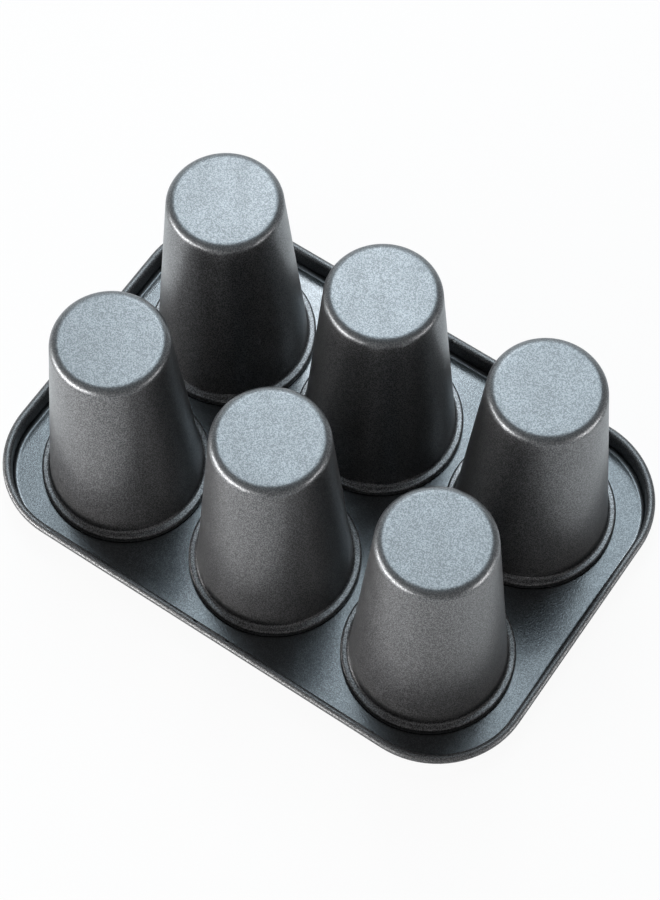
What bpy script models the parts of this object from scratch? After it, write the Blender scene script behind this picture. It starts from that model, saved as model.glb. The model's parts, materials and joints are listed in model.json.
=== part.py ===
"""Jumbo muffin pan: six tall tapered cups crimped into a flat sheet steel tray with a wired, rolled rim.

The pan lies as it is put down to dry: mouths down, cup bases up, the flat face of the tray at z = 0.
X runs along the three columns of cups and Y along the two rows. All sizes are in metres.
"""

import math

import bmesh
import bpy
from mathutils import Vector

# Layout of the cups
COLUMNS = 3
ROWS = 2
PITCH_X = 0.088
PITCH_Y = 0.090

# Sheet steel, and the gap left between pieces that touch
SHEET = 0.0008
GAP = 0.0003

# Tray, measured over its rolled rim
TRAY_LENGTH = 0.2890
TRAY_WIDTH = 0.2015
TRAY_CORNER_RADIUS = 0.0465
RIM_HEIGHT = 0.0130
RIM_FILLET = 0.0024
BEAD_DIAMETER = 0.0042
CURL_END_ANGLE = -142.0

# Drain holes through the upper inner flank of the rolled rim, in pairs at the middle of each long side
DRAIN_HOLE_DIAMETER = 0.0026
DRAIN_HOLE_SPACING = 0.0184
DRAIN_HOLE_TILT = 45.0

# Collar turned up round each hole of the tray, which the lip of a cup is hooked over
COLLAR_RADIUS = 0.0401
COLLAR_TOP = 0.0035
COLLAR_FILLET = 0.0012

# Cup, by the middle line of its sheet
CUP_HEIGHT = 0.1260
BASE_FLAT_RADIUS = 0.0242
BASE_FILLET = 0.0030
SEAM_FILLET = 0.0020
SEAM_FILLET_CENTRE = 0.0390
SEAM_HEIGHT = 0.0046
LIP_RADIUS = 0.0412
LIP_FILLET = 0.0008
LIP_END = 0.0014

# How finely round shapes are drawn, and the angle between faces past which an edge looks sharp
TURN_STEPS = 32
CORNER_STEPS = 8
CURL_STEPS = 11
FILLET_STEPS = 3
DRILL_SIDES = 16
WIRE_BEVEL = 2
SHARP_ANGLE = 50.0
CLOSING_DISTANCE = 0.00001

# Finishes: (colour, roughness, metallic)
TRAY_COATING = ((0.075, 0.080, 0.090), 0.38, 0.75)
CUP_COATING = ((0.080, 0.083, 0.090), 0.36, 0.75)
WIRE_STEEL = ((0.42, 0.41, 0.40), 0.35, 1.0)

# Lengths that follow from those above
BEAD_RADIUS = (BEAD_DIAMETER - SHEET) / 2
BEAD_HEIGHT = RIM_HEIGHT - BEAD_DIAMETER / 2
WIRE_RADIUS = BEAD_DIAMETER / 2 - SHEET - GAP
WALL_INSET = BEAD_DIAMETER - SHEET / 2
WALL_RADIUS = TRAY_CORNER_RADIUS - WALL_INSET
CORNER_X = TRAY_LENGTH / 2 - TRAY_CORNER_RADIUS
CORNER_Y = TRAY_WIDTH / 2 - TRAY_CORNER_RADIUS
SHEET_MIDDLE = SHEET / 2


def clear_scene():
    for old in list(bpy.data.objects):
        bpy.data.objects.remove(old, do_unlink=True)


def new_collection(name):
    collection = bpy.data.collections.new(name)
    bpy.context.scene.collection.children.link(collection)
    return collection


def new_material(name, colour, roughness, metallic):
    material = bpy.data.materials.new(name)
    material.use_nodes = True
    shader = material.node_tree.nodes["Principled BSDF"]
    shader.inputs["Base Color"].default_value = (*colour, 1.0)
    shader.inputs["Roughness"].default_value = roughness
    shader.inputs["Metallic"].default_value = metallic
    return material


def new_object(name, data, collection, material=None):
    made = bpy.data.objects.new(name, data)
    collection.objects.link(made)
    if material:
        data.materials.append(material)
    return made


def arc(centre, radius, start, end, steps):
    """Points of an arc in a section, from one angle to another in degrees, both ends included."""
    angles = [math.radians(start + (end - start) * step / steps) for step in range(steps + 1)]
    return [(centre[0] + radius * math.cos(a), centre[1] + radius * math.sin(a)) for a in angles]


def cup_centres():
    """Centres of the cups, row by row from the front left."""
    for row in range(ROWS):
        for column in range(COLUMNS):
            x = (column - (COLUMNS - 1) / 2) * PITCH_X
            y = (row - (ROWS - 1) / 2) * PITCH_Y
            yield Vector((x, y, 0))


def corner_centre(point):
    """The centre of the tray's corner that a point on its outline belongs to."""
    return Vector((math.copysign(CORNER_X, point.x), math.copysign(CORNER_Y, point.y), 0))


def outline(reach, height):
    """The tray's rounded rectangle, reach outside the middle line of its rim wall, as a row of points."""
    points = []
    for quarter, (side_x, side_y) in enumerate(((1, 1), (-1, 1), (-1, -1), (1, -1))):
        centre = (side_x * CORNER_X, side_y * CORNER_Y)
        turn = arc(centre, WALL_RADIUS + reach, 90 * quarter, 90 * quarter + 90, CORNER_STEPS)
        points += [Vector((x, y, height)) for x, y in turn]
    return points


def rim_section():
    """From the web up the rim wall and outwards round the wire: (reach from the wall, height)."""
    fillet = arc((-RIM_FILLET, SHEET_MIDDLE + RIM_FILLET), RIM_FILLET, -90, 0, FILLET_STEPS)
    curl = arc((BEAD_RADIUS, BEAD_HEIGHT), BEAD_RADIUS, 180, CURL_END_ANGLE, CURL_STEPS)
    return fillet + curl


def collar_section():
    """From the web up the collar round a hole: (radius from the cup's axis, height)."""
    centre = (COLLAR_RADIUS + COLLAR_FILLET, SHEET_MIDDLE + COLLAR_FILLET)
    fillet = arc(centre, COLLAR_FILLET, -90, -180, FILLET_STEPS)
    return fillet + [(COLLAR_RADIUS, COLLAR_TOP)]


def add_row(mesh, points):
    """A closed row of edges through the points."""
    corners = [mesh.verts.new(point) for point in points]
    return [mesh.edges.new(pair) for pair in zip(corners, corners[1:] + corners[:1])]


def extrude_row(mesh, edges, section, centre_of, start):
    """Extrudes a closed row of edges along a section, moving each point straight out from its centre."""
    for reach, height in section:
        grown = bmesh.ops.extrude_edge_only(mesh, edges=edges)["geom"]
        edges = [part for part in grown if isinstance(part, bmesh.types.BMEdge) and part.is_boundary]
        for point in (part for part in grown if isinstance(part, bmesh.types.BMVert)):
            centre = centre_of(point.co)
            outward = (point.co - centre).xy.normalized()
            point.co = (*(centre.xy + (start + reach) * outward), height)


def make_tray(collection, cutters, material):
    """The web with its six collars and its rolled rim: one sheet, modelled by its middle surface."""
    mesh = bmesh.new()
    rim = rim_section()
    rim_row = add_row(mesh, outline(*rim[0]))
    collar = collar_section()
    first_radius, first_height = collar[0]
    collar_rows = []
    for centre in cup_centres():
        turn = arc(centre.xy, first_radius, 0, 360, TURN_STEPS)[:-1]
        collar_rows.append(add_row(mesh, [(x, y, first_height) for x, y in turn]))

    web_edges = rim_row + [edge for row in collar_rows for edge in row]
    bmesh.ops.triangle_fill(mesh, use_beauty=True, edges=web_edges, normal=(0, 0, 1))
    extrude_row(mesh, rim_row, rim[1:], corner_centre, WALL_RADIUS)
    for centre, row in zip(cup_centres(), collar_rows):
        extrude_row(mesh, row, collar[1:], lambda point, middle=centre: middle, 0)
    bmesh.ops.recalc_face_normals(mesh, faces=mesh.faces)

    data = bpy.data.meshes.new("tray")
    mesh.to_mesh(data)
    mesh.free()
    tray = new_object("tray", data, collection, material)
    add_sheet_thickness(tray)
    data.shade_smooth()
    data.set_sharp_from_angle(angle=math.radians(SHARP_ANGLE))

    drill = tray.modifiers.new("drain_holes", "BOOLEAN")
    drill.operation = "DIFFERENCE"
    drill.solver = "EXACT"
    drill.operand_type = "COLLECTION"
    drill.collection = cutters
    return tray


def add_sheet_thickness(sheet):
    wall = sheet.modifiers.new("sheet", "SOLIDIFY")
    wall.thickness = SHEET
    wall.offset = 0
    wall.use_even_offset = True


def make_drain_hole_cutters(collection):
    """Four short drills, each pointing at the wire from inside and above."""
    length = BEAD_DIAMETER
    short_of_centre = BEAD_RADIUS / 4
    bead_y = TRAY_WIDTH / 2 - BEAD_DIAMETER / 2
    tilt = math.radians(DRAIN_HOLE_TILT)
    for side in (-1, 1):
        aim = Vector((0, -side * math.cos(tilt), math.sin(tilt)))
        for shift in (-0.5, 0.5):
            mesh = bmesh.new()
            radius = DRAIN_HOLE_DIAMETER / 2
            bmesh.ops.create_cone(
                mesh, cap_ends=True, segments=DRILL_SIDES, radius1=radius, radius2=radius, depth=length
            )
            data = bpy.data.meshes.new("drain_hole")
            mesh.to_mesh(data)
            mesh.free()
            cutter = new_object("drain_hole_cutter", data, collection)
            bead = Vector((shift * DRAIN_HOLE_SPACING, side * bead_y, BEAD_HEIGHT))
            cutter.location = bead + aim * (length / 2 + short_of_centre)
            cutter.rotation_euler = aim.to_track_quat("Z", "Y").to_euler()
            cutter.hide_render = True
            cutter.display_type = "WIRE"


def cup_section():
    """The middle line of a cup's sheet, from the centre of its base down to the end of its lip."""
    top = CUP_HEIGHT - SHEET_MIDDLE
    seam = SEAM_HEIGHT - SHEET_MIDDLE
    base_centre = Vector((BASE_FLAT_RADIUS, top - BASE_FILLET))
    seam_centre = Vector((SEAM_FILLET_CENTRE, seam + SEAM_FILLET))
    # The wall is the straight line that touches the round of the base and the fillet of the seam
    span = seam_centre - base_centre
    slope = math.atan2(-span.y, span.x)
    taper = math.degrees(math.acos((BASE_FILLET + SEAM_FILLET) / span.length) - slope)
    lip_centre = (LIP_RADIUS - LIP_FILLET, seam - LIP_FILLET)
    return (
        [(0, top)]
        + arc(base_centre, BASE_FILLET, 90, taper, FILLET_STEPS)
        + arc(seam_centre, SEAM_FILLET, 180 + taper, 270, FILLET_STEPS)
        + arc(lip_centre, LIP_FILLET, 90, 0, FILLET_STEPS - 1)
        + [(LIP_RADIUS, LIP_END)]
    )


def make_cups(collection, material):
    """Six turned cups that share one section, each hooked over its own collar of the tray."""
    mesh = bmesh.new()
    corners = [mesh.verts.new((radius, 0, height)) for radius, height in cup_section()]
    for pair in zip(corners, corners[1:]):
        mesh.edges.new(pair)
    data = bpy.data.meshes.new("cup")
    mesh.to_mesh(data)
    mesh.free()
    data.materials.append(material)
    for number, centre in enumerate(cup_centres(), start=1):
        cup = new_object(f"cup_{number}", data, collection)
        cup.location = centre
        turn = cup.modifiers.new("turn", "SCREW")
        turn.angle = math.tau
        turn.steps = turn.render_steps = TURN_STEPS
        turn.use_merge_vertices = True
        turn.merge_threshold = CLOSING_DISTANCE
        turn.use_smooth_shade = True
        add_sheet_thickness(cup)


def make_rim_wire(collection, material):
    """The wire that stiffens the rolled rim, bent to the outline with its ends butted on the back side."""
    path = outline(BEAD_RADIUS, BEAD_HEIGHT)
    after_first_corner = CORNER_STEPS + 1
    back_y = path[after_first_corner].y
    ends = [Vector((side * GAP, back_y, BEAD_HEIGHT)) for side in (-1, 1)]
    path = [ends[0]] + path[after_first_corner:] + path[:after_first_corner] + [ends[1]]

    data = bpy.data.curves.new("rim_wire", "CURVE")
    data.dimensions = "3D"
    data.bevel_depth = WIRE_RADIUS
    data.bevel_resolution = WIRE_BEVEL
    data.use_fill_caps = True
    spline = data.splines.new("POLY")
    spline.points.add(len(path) - 1)
    for point, place in zip(spline.points, path):
        point.co = (*place, 1)
    return new_object("rim_wire", data, collection, material)


def main():
    clear_scene()
    pan = new_collection("jumbo_muffin_pan")
    cutters = new_collection("cutters")
    make_drain_hole_cutters(cutters)
    make_tray(pan, cutters, new_material("tray_coating", *TRAY_COATING))
    make_cups(pan, new_material("cup_coating", *CUP_COATING))
    make_rim_wire(pan, new_material("wire_steel", *WIRE_STEEL))


main()
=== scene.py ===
"""Jumbo muffin pan: the fine surfaces and finishes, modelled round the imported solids.

The pan lies mouths down on a pale floor, as in the photograph. Lengths are in metres. X runs along the
two rows of three cups, Y across them and Z up. Every piece belongs to the one rigid body.
"""

import json
import math
from collections import namedtuple

import bmesh
import bpy
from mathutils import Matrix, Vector

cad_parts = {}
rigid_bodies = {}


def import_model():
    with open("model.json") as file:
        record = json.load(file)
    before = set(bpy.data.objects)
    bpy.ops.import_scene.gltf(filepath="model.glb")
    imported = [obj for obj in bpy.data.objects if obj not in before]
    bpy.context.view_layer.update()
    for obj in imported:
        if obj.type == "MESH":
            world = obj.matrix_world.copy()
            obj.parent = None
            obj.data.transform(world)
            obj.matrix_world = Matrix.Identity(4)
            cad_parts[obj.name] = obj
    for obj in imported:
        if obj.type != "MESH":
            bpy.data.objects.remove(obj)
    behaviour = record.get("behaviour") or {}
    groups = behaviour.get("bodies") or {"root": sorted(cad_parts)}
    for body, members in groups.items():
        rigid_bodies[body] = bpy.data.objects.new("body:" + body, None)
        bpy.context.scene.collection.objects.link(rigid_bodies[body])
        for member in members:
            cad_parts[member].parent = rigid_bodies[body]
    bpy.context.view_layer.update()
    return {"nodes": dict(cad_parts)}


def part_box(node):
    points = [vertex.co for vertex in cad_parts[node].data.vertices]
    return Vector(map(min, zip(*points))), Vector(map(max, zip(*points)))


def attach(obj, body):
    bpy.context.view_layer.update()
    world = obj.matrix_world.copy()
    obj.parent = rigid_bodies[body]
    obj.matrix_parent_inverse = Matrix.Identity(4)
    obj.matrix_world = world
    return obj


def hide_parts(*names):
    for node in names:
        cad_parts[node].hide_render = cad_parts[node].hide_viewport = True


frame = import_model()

# Sheet steel, its middle where it lies flat on the floor, and the bead that its rim is rolled into
SHEET = 0.0008
SHEET_MIDDLE = SHEET / 2
BEAD_DIAMETER = 0.0042
TRAY_CORNER_RADIUS = 0.0465
RIM_FILLET = 0.0024

# Drain holes through the upper inner flank of the rolled rim, in pairs at the middle of each long side
DRAIN_HOLE_DIAMETER = 0.0026
DRAIN_HOLE_SPACING = 0.0184
DRAIN_HOLE_TILT = 45.0

# Collar turned up round each hole of the tray, by the middle of its sheet
COLLAR_RADIUS = 0.0401
COLLAR_TOP = 0.0035
COLLAR_FILLET = 0.0012

# Cup, by the middle of its sheet: flat base, wall, flange and lip
BASE_FLAT_RADIUS = 0.0233
BASE_FILLET = 0.0040
SEAM_FILLET = 0.0020
SEAM_FILLET_CENTRE = 0.0390
SEAM_HEIGHT = 0.0046 - SHEET_MIDDLE
LIP_RADIUS = 0.0412
LIP_FILLET = 0.0008
LIP_END = 0.0014

# How finely the round shapes are drawn
TURN_STEPS = 128
BEAD_STEPS = 40
BEAD_OPENING_STEPS = 4
CORNER_STEPS = 20
FILLET_STEPS = 8
DRILL_SIDES = 32

# Bands beside the rounds, how near counts as the same place or angle, and what counts as a sharp edge
# or as facing down
SUPPORT_WIDTH = 0.0005
MERGE_DISTANCE = 0.00001
ANGLE_SLACK = 0.01
SHARP_ANGLE = math.radians(40)
FACING_DOWN = -0.9

# The photograph's camera
CAMERA_AZIMUTH = 34.2
CAMERA_ELEVATION = 63.0
CAMERA_DISTANCE = 1.30
CAMERA_FOCAL_PIXELS = 2765.0
CAMERA_TARGET = (0.004, -0.004, 0.0525)
IMAGE_HEIGHT = 900.0
SENSOR_SIZE = 36.0

# The studio's brightness at its walls and overhead, where 1 is white. It fades from one to the other
# between two heights, given as sines of the angle above the horizon
WALL_BRIGHTNESS = 0.30
CEILING_BRIGHTNESS = 0.10
FADE_START = 0.05
FADE_END = 0.60

# How far floor and studio turn plain white for these kinds of light ray. For all others they keep
# their own grey
BACKDROP_GLOW = {"Is Camera Ray": 0.93, "Is Glossy Ray": 0.15, "Is Transmission Ray": 0.93}

# The floor, a hair below the pan
FLOOR_SIZE = 8.0
FLOOR_DROP = 0.0002
FLOOR_COLOUR = (0.86, 0.86, 0.86, 1)
FLOOR_ROUGHNESS = 0.9

# Lamps: turn from the camera, elevation, distance, size and brightness of the face, and colour
Lamp = namedtuple("Lamp", ("turn", "elevation", "distance", "width", "height", "radiance", "colour"))
WARM = (1.0, 0.985, 0.97)
LAMPS = {
    "back_softbox": Lamp(171, 63, 1.4, 0.95, 0.7, 4.5, (0.78, 0.92, 1.0)),
    "low_back_softbox": Lamp(180, 36, 1.4, 1.5, 0.5, 1.9, (0.82, 0.94, 1.0)),
    "rear_softbox": Lamp(180, 11, 1.5, 3.2, 0.4, 1.4, (0.92, 0.97, 1.0)),
    "key_softbox": Lamp(180, 54, 1.6, 0.25, 0.25, 12.0, (0.94, 0.97, 1.0)),
    "left_softbox": Lamp(-48, 7, 1.1, 0.60, 0.26, 13.0, WARM),
    "far_left_softbox": Lamp(-78, 7, 1.1, 0.85, 0.26, 17.0, WARM),
    "right_softbox": Lamp(66, 7, 1.1, 0.60, 0.26, 10.0, WARM),
}

# A finish: its two colours of grain, its roughness, and how much clear skin lies over it.
# Where a piece's flat and its rest get different colours, that difference is painted light
# A coating: the finishes of a piece's flat and of its rest, how metallic it is, how rough its skin is,
# and how many times as long upwards as sideways its grain is
FinishAndPaintedLight = namedtuple("FinishAndPaintedLight", ("dark", "light", "roughness", "skin"))
Coating = namedtuple("Coating", ("flat", "rest", "metallic", "skin_roughness", "draw"))
CUP_COATING = Coating(
    # The flat base's bluish tint is a painted reflection of the bluish softboxes overhead
    flat=FinishAndPaintedLight((0.090, 0.096, 0.102), (0.186, 0.195, 0.203), roughness=0.35, skin=0.5),
    rest=FinishAndPaintedLight((0.062, 0.062, 0.065), (0.235, 0.235, 0.240), roughness=0.35, skin=0.5),
    metallic=0.72, skin_roughness=0.30, draw=1.5,
)
TRAY_COATING = Coating(
    # The web's darker colours are a painted reflection of the dark cup walls around it
    flat=FinishAndPaintedLight((0.045, 0.049, 0.053), (0.088, 0.094, 0.099), roughness=0.21, skin=0.5),
    rest=FinishAndPaintedLight((0.070, 0.071, 0.073), (0.200, 0.201, 0.205), roughness=0.45, skin=0.15),
    metallic=0.88, skin_roughness=0.15, draw=1.0,
)
CLOUDING = 0.06
DIMPLE_DEPTH = 0.00003

# Layers of the coating's grain: their width and detail, and the noise values that become 0 and 1
Grain = namedtuple("Grain", ("width", "detail", "low", "high"))
GRAINS = {
    "Dimple": Grain(0.0008, 1.5, 0.25, 0.75),
    "Flake": Grain(0.00054, 0.0, 0.35, 0.70),
    "Cloud": Grain(0.012, 2.0, 0.30, 0.70),
}

# Bare wire: its two greys, its lowest and highest roughness, and how fine its mottle is
WIRE_DARK = (0.34, 0.33, 0.32)
WIRE_LIGHT = (0.50, 0.49, 0.48)
WIRE_ROUGHNESS = (0.28, 0.42)
WIRE_MOTTLE_SCALE = 900

# Places and heights that the solids give
CUPS = {
    name: Vector(((low.x + high.x) / 2, (low.y + high.y) / 2, 0))
    for name in sorted(frame["nodes"]) if name.startswith("cup_")
    for low, high in [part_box(name)]
}
FIRST_CUP = next(iter(CUPS))
BASE_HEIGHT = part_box(FIRST_CUP)[1].z - SHEET_MIDDLE
TRAY_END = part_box("tray")[1]
BEAD_RADIUS = (BEAD_DIAMETER - SHEET) / 2
BEAD_HEIGHT = TRAY_END.z - BEAD_DIAMETER / 2
BEAD_FOOT = BEAD_HEIGHT - BEAD_DIAMETER / 2
BEAD_Y = TRAY_END.y - BEAD_DIAMETER / 2
WALL_RADIUS = TRAY_CORNER_RADIUS - (BEAD_DIAMETER - SHEET_MIDDLE)
CORNER_X = TRAY_END.x - TRAY_CORNER_RADIUS
CORNER_Y = TRAY_END.y - TRAY_CORNER_RADIUS

# How far the drill's middle stands off from that of the bead, so that it cuts the inner flank only
DRILL_STANDOFF = BEAD_DIAMETER / 2 + BEAD_RADIUS / 4


# Modelling by hand: starting a piece, picking in edit mode, and finishing it


def deselect_everything():
    for thing in bpy.context.view_layer.objects:
        thing.select_set(False)


def choose(piece):
    """Selects one piece alone and makes it the active one."""
    deselect_everything()
    piece.select_set(True)
    bpy.context.view_layer.objects.active = piece


def edit(piece):
    """Opens one piece in edit mode."""
    choose(piece)
    bpy.ops.object.mode_set(mode="EDIT")
    return piece


def close_edit():
    bpy.ops.object.mode_set(mode="OBJECT")


def empty_piece(name):
    piece = bpy.data.objects.new(name, bpy.data.meshes.new(name))
    bpy.context.scene.collection.objects.link(piece)
    return piece


def pick(piece, kind, wanted):
    """In edit mode, selects only the verts, edges or faces that wanted() says yes to."""
    bpy.ops.mesh.select_mode(type={"verts": "VERT", "edges": "EDGE", "faces": "FACE"}[kind])
    bpy.ops.mesh.select_all(action="DESELECT")
    shape = bmesh.from_edit_mesh(piece.data)
    for part in getattr(shape, kind):
        if wanted(part):
            part.select_set(True)
    shape.select_flush_mode()
    bmesh.update_edit_mesh(piece.data)


def near(a, b):
    return abs(a - b) < MERGE_DISTANCE


def at_ring(radius, height, centre=Vector((0, 0, 0))):
    """A test for edges of the ring with this radius and height."""
    def on_ring(point):
        return near((point.co - centre).xy.length, radius) and near(point.co.z, height)
    return lambda edge: all(on_ring(point) for point in edge.verts)


def extrude(step):
    bpy.ops.mesh.extrude_region_move(TRANSFORM_OT_translate={"value": step})


def extrude_ring(old_radius, new_radius, centre=Vector((0, 0, 0))):
    """Extrudes the picked ring to another radius at the same height."""
    extrude((0, 0, 0))
    scale = new_radius / old_radius
    bpy.ops.transform.resize(value=(scale, scale, 1), center_override=centre)


def round_over(width):
    bpy.ops.mesh.bevel(
        offset_type="OFFSET", offset=width, segments=FILLET_STEPS, affect="EDGES", profile=0.5
    )


def close_seams_and_face_out():
    bpy.ops.mesh.select_all(action="SELECT")
    bpy.ops.mesh.remove_doubles(threshold=MERGE_DISTANCE)
    bpy.ops.mesh.normals_make_consistent(inside=False)


def apply_modifier(piece, modifier):
    choose(piece)
    bpy.ops.object.modifier_apply(modifier=modifier.name)


def thicken(piece):
    """Gives a surface the thickness of the sheet, half to each side."""
    wall = piece.modifiers.new("sheet", "SOLIDIFY")
    wall.thickness = SHEET
    wall.offset = 0
    wall.use_even_offset = True
    apply_modifier(piece, wall)


def smooth(piece):
    """Smooths the shading except over sharp edges."""
    choose(piece)
    bpy.ops.object.shade_smooth_by_angle(angle=SHARP_ANGLE)


def finish_piece(piece, material, node):
    """Coats a piece and lets it stand for the solid of that name."""
    piece.data.materials.clear()
    piece.data.materials.append(material)
    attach(piece, "root")
    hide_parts(node)


# Cups


def wall_taper():
    """The wall's lean from upright, in radians, at which it touches the rounds of base and seam."""
    base_centre = Vector((BASE_FLAT_RADIUS, BASE_HEIGHT - BASE_FILLET))
    seam_centre = Vector((SEAM_FILLET_CENTRE, SEAM_HEIGHT + SEAM_FILLET))
    span = seam_centre - base_centre
    slope = math.atan2(-span.y, span.x)
    return math.acos((BASE_FILLET + SEAM_FILLET) / span.length) - slope


def model_cup():
    """One cup by the middle of its sheet: a cone with rounded edges, a flange and a lip turned down."""
    half_turn = (math.pi / 2 - wall_taper()) / 2
    base_round = BASE_FILLET * math.tan(half_turn)
    seam_round = SEAM_FILLET * math.tan(half_turn)
    base_corner = BASE_FLAT_RADIUS + base_round
    seam_corner = SEAM_FILLET_CENTRE - seam_round

    deselect_everything()
    bpy.ops.mesh.primitive_cone_add(
        vertices=TURN_STEPS, radius1=seam_corner, radius2=base_corner, end_fill_type="NGON",
        depth=BASE_HEIGHT - SEAM_HEIGHT, location=(0, 0, (BASE_HEIGHT + SEAM_HEIGHT) / 2),
    )
    cup = bpy.context.active_object
    bpy.ops.object.transform_apply(location=True, rotation=True, scale=True)
    edit(cup)
    pick(cup, "faces", lambda face: face.normal.z < FACING_DOWN)
    bpy.ops.mesh.delete(type="ONLY_FACE")

    pick(cup, "edges", at_ring(seam_corner, SEAM_HEIGHT))
    extrude_ring(seam_corner, LIP_RADIUS)
    extrude((0, 0, LIP_END - SEAM_HEIGHT))

    pick(cup, "edges", at_ring(base_corner, BASE_HEIGHT))
    round_over(base_round)
    pick(cup, "edges", at_ring(seam_corner, SEAM_HEIGHT))
    round_over(seam_round)
    pick(cup, "edges", at_ring(LIP_RADIUS, SEAM_HEIGHT))
    round_over(LIP_FILLET)

    # Narrow bands beside the rounds keep the flat base and the straight wall flat in the shading
    pick(cup, "faces", lambda face: len(face.verts) == TURN_STEPS)
    bpy.ops.mesh.inset(thickness=SUPPORT_WIDTH)
    below_base = BASE_HEIGHT - BASE_FILLET - SUPPORT_WIDTH
    above_seam = SEAM_HEIGHT + SEAM_FILLET + SUPPORT_WIDTH
    for height in (below_base, above_seam):
        bpy.ops.mesh.select_all(action="SELECT")
        bpy.ops.mesh.bisect(plane_co=(0, 0, height), plane_no=(0, 0, 1))

    close_seams_and_face_out()
    close_edit()
    thicken(cup)
    smooth(cup)
    return cup


def make_cups(material):
    """One cup is modelled at the origin and copied to each place, every copy with its own mesh."""
    pattern = model_cup()
    for name, centre in CUPS.items():
        cup = bpy.data.objects.new(name + "_coated", pattern.data.copy())
        bpy.context.scene.collection.objects.link(cup)
        edit(cup)
        bpy.ops.mesh.select_all(action="SELECT")
        bpy.ops.transform.translate(value=centre)
        close_edit()
        finish_piece(cup, material, name)
    bpy.data.objects.remove(pattern, do_unlink=True)


# Tray


def add_rim_section(tray):
    """The rim's section, where the back right corner starts: bead, wall, corner of the fillet, web."""
    wall_x = CORNER_X + WALL_RADIUS
    bead = Vector((wall_x + BEAD_RADIUS, CORNER_Y, BEAD_HEIGHT))
    bpy.ops.mesh.primitive_circle_add(
        vertices=BEAD_STEPS, radius=BEAD_RADIUS, fill_type="NOTHING",
        location=bead, rotation=(math.pi / 2, 0, 0),
    )
    # The bead is left open for a few steps below the wall
    opening = math.tau * BEAD_OPENING_STEPS / BEAD_STEPS

    def in_opening(point):
        arm = point.co - bead
        angle = math.atan2(arm.z, arm.x) % math.tau
        return math.pi + ANGLE_SLACK < angle < math.pi + opening - ANGLE_SLACK
    pick(tray, "verts", in_opening)
    bpy.ops.mesh.delete(type="VERT")

    pick(tray, "verts", lambda point: near(point.co.x, wall_x) and near(point.co.z, BEAD_HEIGHT))
    extrude((0, 0, SHEET_MIDDLE - BEAD_HEIGHT))
    extrude((-RIM_FILLET - SUPPORT_WIDTH, 0, 0))


def sweep_rim(tray):
    """Takes the section round the tray, a quarter turn at each corner and straight along each side."""
    bpy.ops.mesh.select_all(action="SELECT")
    corners = ((1, 1), (-1, 1), (-1, -1), (1, -1))
    for number, (side_x, side_y) in enumerate(corners):
        bpy.ops.mesh.spin(
            steps=CORNER_STEPS, angle=math.pi / 2, axis=(0, 0, -1),
            center=(side_x * CORNER_X, side_y * CORNER_Y, 0),
        )
        next_x, next_y = corners[(number + 1) % len(corners)]
        extrude(((next_x - side_x) * CORNER_X, (next_y - side_y) * CORNER_Y, 0))
    close_seams_and_face_out()


def on_fillet_corner(edge):
    """An edge of the corner between web and rim wall, before it is rounded."""
    low = all(near(point.co.z, SHEET_MIDDLE) for point in edge.verts)
    return low and len(edge.link_faces) == 2 and edge.calc_face_angle() > SHARP_ANGLE


def add_collars(tray):
    """One collar is modelled round the first hole and copied to the others."""
    first = CUPS[FIRST_CUP]
    foot = COLLAR_RADIUS + COLLAR_FILLET + SUPPORT_WIDTH
    bpy.ops.mesh.select_all(action="DESELECT")
    bpy.ops.mesh.primitive_circle_add(
        vertices=TURN_STEPS, radius=foot, fill_type="NOTHING",
        location=first + Vector((0, 0, SHEET_MIDDLE)),
    )
    extrude_ring(foot, COLLAR_RADIUS, first)
    extrude((0, 0, COLLAR_TOP - SHEET_MIDDLE))
    pick(tray, "edges", at_ring(COLLAR_RADIUS, SHEET_MIDDLE, first))
    round_over(COLLAR_FILLET)

    last = first
    reach = foot + MERGE_DISTANCE

    def on_last_collar(face):
        return all((point.co - last).xy.length < reach for point in face.verts)
    for centre in list(CUPS.values())[1:]:
        pick(tray, "faces", on_last_collar)
        bpy.ops.mesh.duplicate_move(TRANSFORM_OT_translate={"value": centre - last})
        last = centre


def fill_web(tray):
    """Fills the flat web between the foot of the rim and the feet of the collars."""
    def on_web_edge(edge):
        return edge.is_boundary and all(near(point.co.z, SHEET_MIDDLE) for point in edge.verts)
    pick(tray, "edges", on_web_edge)
    bpy.ops.mesh.fill(use_beauty=True)
    close_seams_and_face_out()


def drill_drain_holes(tray):
    """Cuts the four drain holes, each drill pointing down and outwards at the bead."""
    tilt = math.radians(DRAIN_HOLE_TILT)
    drills = []
    for side in (-1, 1):
        aim = Vector((0, -side * math.cos(tilt), math.sin(tilt)))
        for shift in (-0.5, 0.5):
            bead = Vector((shift * DRAIN_HOLE_SPACING, side * BEAD_Y, BEAD_HEIGHT))
            deselect_everything()
            bpy.ops.mesh.primitive_cylinder_add(
                vertices=DRILL_SIDES, radius=DRAIN_HOLE_DIAMETER / 2, depth=BEAD_DIAMETER,
                location=bead + aim * DRILL_STANDOFF,
                rotation=aim.to_track_quat("Z", "Y").to_euler(),
            )
            drills.append(bpy.context.active_object)
    for drill in drills:
        cut = tray.modifiers.new("drain_hole", "BOOLEAN")
        cut.operation = "DIFFERENCE"
        cut.solver = "EXACT"
        cut.object = drill
        apply_modifier(tray, cut)
        bpy.data.objects.remove(drill, do_unlink=True)


def make_tray(material):
    """Rim, collars and web by the middle of the sheet, then thickened and drilled."""
    tray = edit(empty_piece("tray_coated"))
    add_rim_section(tray)
    sweep_rim(tray)
    pick(tray, "edges", on_fillet_corner)
    round_over(RIM_FILLET)
    add_collars(tray)
    fill_web(tray)
    close_edit()
    thicken(tray)
    drill_drain_holes(tray)
    smooth(tray)
    finish_piece(tray, material, "tray")


# Finishes


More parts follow.
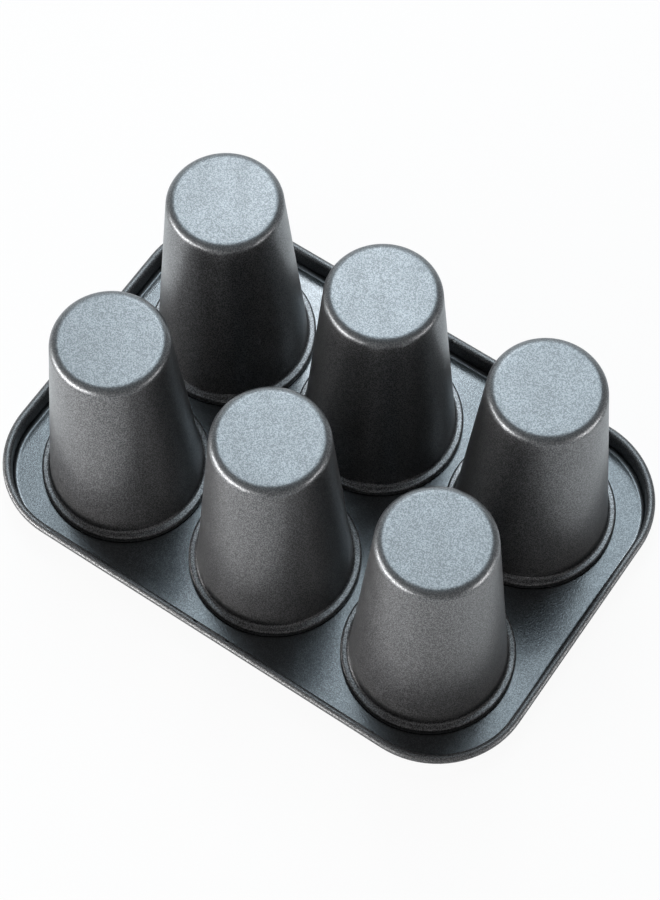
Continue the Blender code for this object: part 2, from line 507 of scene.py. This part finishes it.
def new_group(name, inputs, outputs):
    """An empty shader node group: inputs are (name, kind, default), outputs are (name, kind)."""
    group = bpy.data.node_groups.new(name, "ShaderNodeTree")
    for label, kind, default in inputs:
        socket = group.interface.new_socket(label, in_out="INPUT", socket_type=kind)
        if default is not None:
            socket.default_value = default
    for label, kind in outputs:
        group.interface.new_socket(label, in_out="OUTPUT", socket_type=kind)
    return group, group.nodes.new("NodeGroupInput"), group.nodes.new("NodeGroupOutput")


def scaled_noise(group, source, label, detail):
    """Noise whose grain is as wide as the group's input of that name."""
    per_metre = group.nodes.new("ShaderNodeMath")
    per_metre.operation = "DIVIDE"
    per_metre.inputs[0].default_value = 1.0
    group.links.new(source.outputs[label], per_metre.inputs[1])
    noise = group.nodes.new("ShaderNodeTexNoise")
    noise.inputs["Detail"].default_value = detail
    group.links.new(source.outputs["Vector"], noise.inputs["Vector"])
    group.links.new(per_metre.outputs[0], noise.inputs["Scale"])
    return noise.outputs["Fac"]


def spread(tree, value, low, high):
    """Stretches a value so that low becomes 0 and high becomes 1."""
    stretch = tree.nodes.new("ShaderNodeMapRange")
    stretch.inputs["From Min"].default_value = low
    stretch.inputs["From Max"].default_value = high
    tree.links.new(value, stretch.inputs["Value"])
    return stretch.outputs["Result"]


def make_speckle_group():
    """The sprayed coating's grain: fine dimples, the glint of its flakes, and soft clouding."""
    widths = [(f"{name} Width", "NodeSocketFloat", grain.width) for name, grain in GRAINS.items()]
    group, source, result = new_group(
        "sprayed_speckle",
        [("Vector", "NodeSocketVector", None)] + widths,
        [(f"{name}s", "NodeSocketFloat") for name in GRAINS],
    )
    for name, grain in GRAINS.items():
        noise = scaled_noise(group, source, f"{name} Width", grain.detail)
        group.links.new(spread(group, noise, grain.low, grain.high), result.inputs[f"{name}s"])
    return group


def new_material(name):
    material = bpy.data.materials.new(name)
    material.use_nodes = True
    return material, material.node_tree, material.node_tree.nodes["Principled BSDF"]


def mixed_colour(tree, factor, first, second):
    mix = tree.nodes.new("ShaderNodeMix")
    mix.data_type = "RGBA"
    mix.inputs["A"].default_value = (*first, 1)
    mix.inputs["B"].default_value = (*second, 1)
    tree.links.new(factor, mix.inputs["Factor"])
    return mix.outputs["Result"]


def ranged(tree, value, low, high):
    """Turns a value from 0 to 1 into one from low to high."""
    stretch = tree.nodes.new("ShaderNodeMapRange")
    stretch.inputs["To Min"].default_value = low
    stretch.inputs["To Max"].default_value = high
    tree.links.new(value, stretch.inputs["Value"])
    return stretch.outputs["Result"]


def coating(name, speckle, look, flat_height, rest_height):
    """Satin grey-black non-stick coating: a clear skin over a layer of metal flakes.

    Its finish goes over from that of the flat to that of the rest between the two heights. The change
    of colour between them is painted light: a bluish painted reflection on the cups' flat bases and a
    painted dark reflection of the cups on the tray's web.
    """
    material, tree, shader = new_material(name)
    place = tree.nodes.new("ShaderNodeTexCoord")
    drawn = tree.nodes.new("ShaderNodeVectorMath")
    drawn.operation = "MULTIPLY"
    drawn.inputs[1].default_value = (1, 1, 1 / look.draw)
    tree.links.new(place.outputs["Object"], drawn.inputs[0])
    grain = tree.nodes.new("ShaderNodeGroup")
    grain.node_tree = speckle
    tree.links.new(drawn.outputs["Vector"], grain.inputs["Vector"])

    axes = tree.nodes.new("ShaderNodeSeparateXYZ")
    tree.links.new(place.outputs["Object"], axes.inputs["Vector"])
    share = spread(tree, axes.outputs["Z"], flat_height, rest_height)

    # Blends the flat's and the rest's grain colours by height; their difference is painted light
    colour = tree.nodes.new("ShaderNodeMix")
    colour.data_type = "RGBA"
    tree.links.new(share, colour.inputs["Factor"])
    for label, finish_and_painted_light in (("A", look.flat), ("B", look.rest)):
        flakes = mixed_colour(tree, grain.outputs["Flakes"], finish_and_painted_light.dark, finish_and_painted_light.light)
        tree.links.new(flakes, colour.inputs[label])
    tree.links.new(colour.outputs["Result"], shader.inputs["Base Color"])

    clouded = tree.nodes.new("ShaderNodeMath")
    clouded.operation = "MULTIPLY_ADD"
    clouded.inputs[1].default_value = CLOUDING
    tree.links.new(grain.outputs["Clouds"], clouded.inputs[0])
    tree.links.new(ranged(tree, share, look.flat.roughness, look.rest.roughness), clouded.inputs[2])
    tree.links.new(clouded.outputs[0], shader.inputs["Roughness"])
    tree.links.new(ranged(tree, share, look.flat.skin, look.rest.skin), shader.inputs["Coat Weight"])

    bump = tree.nodes.new("ShaderNodeBump")
    bump.inputs["Distance"].default_value = DIMPLE_DEPTH
    tree.links.new(grain.outputs["Dimples"], bump.inputs["Height"])
    tree.links.new(bump.outputs["Normal"], shader.inputs["Normal"])
    shader.inputs["Metallic"].default_value = look.metallic
    shader.inputs["Coat Roughness"].default_value = look.skin_roughness
    return material


def wire_steel():
    """Bare grey steel, faintly mottled."""
    material, tree, shader = new_material("drawn_wire_steel")
    place = tree.nodes.new("ShaderNodeTexCoord")
    noise = tree.nodes.new("ShaderNodeTexNoise")
    noise.inputs["Scale"].default_value = WIRE_MOTTLE_SCALE
    tree.links.new(place.outputs["Object"], noise.inputs["Vector"])
    mottle = noise.outputs["Fac"]
    tree.links.new(mixed_colour(tree, mottle, WIRE_DARK, WIRE_LIGHT), shader.inputs["Base Color"])
    tree.links.new(ranged(tree, mottle, *WIRE_ROUGHNESS), shader.inputs["Roughness"])
    shader.inputs["Metallic"].default_value = 1.0
    return material


def dress_wire(material):
    """The wire keeps the shape of its solid and only gets its steel."""
    wire = frame["nodes"]["rim_wire"]
    wire.data.materials.clear()
    wire.data.materials.append(material)


# Floor, light and camera


def glow_share(tree):
    """How far floor and studio are plain white, by the kind of light ray that meets them."""
    path = tree.nodes.new("ShaderNodeLightPath")
    total = None
    for label, share in BACKDROP_GLOW.items():
        weigh = tree.nodes.new("ShaderNodeMath")
        weigh.operation = "MULTIPLY_ADD"
        weigh.inputs[1].default_value = share
        weigh.inputs[2].default_value = 0.0
        tree.links.new(path.outputs[label], weigh.inputs[0])
        if total is not None:
            tree.links.new(total, weigh.inputs[2])
        total = weigh.outputs[0]
    return total


def make_floor():
    """A pale floor, nearly plain white to the camera, that keeps the pan's shadow."""
    deselect_everything()
    bpy.ops.mesh.primitive_plane_add(size=FLOOR_SIZE, location=(0, 0, -FLOOR_DROP))
    floor = bpy.context.active_object
    floor.name = "floor"
    material, tree, shader = new_material("pale_floor")
    shader.inputs["Base Color"].default_value = FLOOR_COLOUR
    shader.inputs["Roughness"].default_value = FLOOR_ROUGHNESS
    glow = tree.nodes.new("ShaderNodeEmission")
    blend = tree.nodes.new("ShaderNodeMixShader")
    tree.links.new(glow_share(tree), blend.inputs["Fac"])
    tree.links.new(shader.outputs[0], blend.inputs[1])
    tree.links.new(glow.outputs[0], blend.inputs[2])
    tree.links.new(blend.outputs[0], tree.nodes["Material Output"].inputs["Surface"])
    floor.data.materials.append(material)


def make_world():
    """A grey studio, dimmer overhead, that is nearly plain white to the camera."""
    world = bpy.data.worlds.new("studio")
    bpy.context.scene.world = world
    world.use_nodes = True
    tree = world.node_tree
    place = tree.nodes.new("ShaderNodeTexCoord")
    height = tree.nodes.new("ShaderNodeSeparateXYZ")
    tree.links.new(place.outputs["Generated"], height.inputs["Vector"])
    fade = tree.nodes.new("ShaderNodeMapRange")
    fade.interpolation_type = "SMOOTHSTEP"
    fade.inputs["From Min"].default_value = FADE_START
    fade.inputs["From Max"].default_value = FADE_END
    fade.inputs["To Min"].default_value = WALL_BRIGHTNESS
    fade.inputs["To Max"].default_value = CEILING_BRIGHTNESS
    tree.links.new(height.outputs["Z"], fade.inputs["Value"])
    white = tree.nodes.new("ShaderNodeMix")
    white.inputs["B"].default_value = 1.0
    tree.links.new(glow_share(tree), white.inputs["Factor"])
    tree.links.new(fade.outputs["Result"], white.inputs["A"])
    tree.links.new(white.outputs["Result"], tree.nodes["Background"].inputs["Strength"])
    tree.nodes["Background"].inputs["Color"].default_value = (1, 1, 1, 1)


def direction(azimuth, elevation):
    """The way from the pan to something seen at this azimuth and elevation, given in degrees."""
    turn = math.radians(azimuth)
    rise = math.radians(elevation)
    return Vector((math.sin(turn) * math.cos(rise), -math.cos(turn) * math.cos(rise), math.sin(rise)))


def add_softbox(name, look):
    """A rectangular lamp that faces the pan and stays out of the camera's sight."""
    data = bpy.data.lights.new(name, "AREA")
    data.shape = "RECTANGLE"
    data.size = look.width
    data.size_y = look.height
    data.energy = look.radiance * look.width * look.height * math.pi
    data.color = look.colour
    lamp = bpy.data.objects.new(name, data)
    bpy.context.scene.collection.objects.link(lamp)
    away = direction(CAMERA_AZIMUTH + look.turn, look.elevation)
    lamp.location = Vector(CAMERA_TARGET) + away * look.distance
    lamp.rotation_euler = away.to_track_quat("Z", "Y").to_euler()
    lamp.visible_camera = False


def make_lights():
    """Softboxes behind the pan light its flat faces and edges; low ones beside it streak the walls."""
    for name, look in LAMPS.items():
        add_softbox(name, look)


def make_camera():
    data = bpy.data.cameras.new("camera")
    data.sensor_width = SENSOR_SIZE
    data.lens = CAMERA_FOCAL_PIXELS / IMAGE_HEIGHT * SENSOR_SIZE
    camera = bpy.data.objects.new("camera", data)
    bpy.context.scene.collection.objects.link(camera)
    back = direction(CAMERA_AZIMUTH, CAMERA_ELEVATION)
    camera.location = Vector(CAMERA_TARGET) + back * CAMERA_DISTANCE
    camera.rotation_euler = back.to_track_quat("Z", "Y").to_euler()
    bpy.context.scene.camera = camera


speckle = make_speckle_group()
make_tray(coating("tray_coating", speckle, TRAY_COATING, RIM_FILLET, BEAD_FOOT))
make_cups(coating("cup_coating", speckle, CUP_COATING, BASE_HEIGHT, BASE_HEIGHT - BASE_FILLET))
dress_wire(wire_steel())
make_floor()
make_world()
make_lights()
make_camera()
bpy.context.scene.view_settings.view_transform = "Standard"
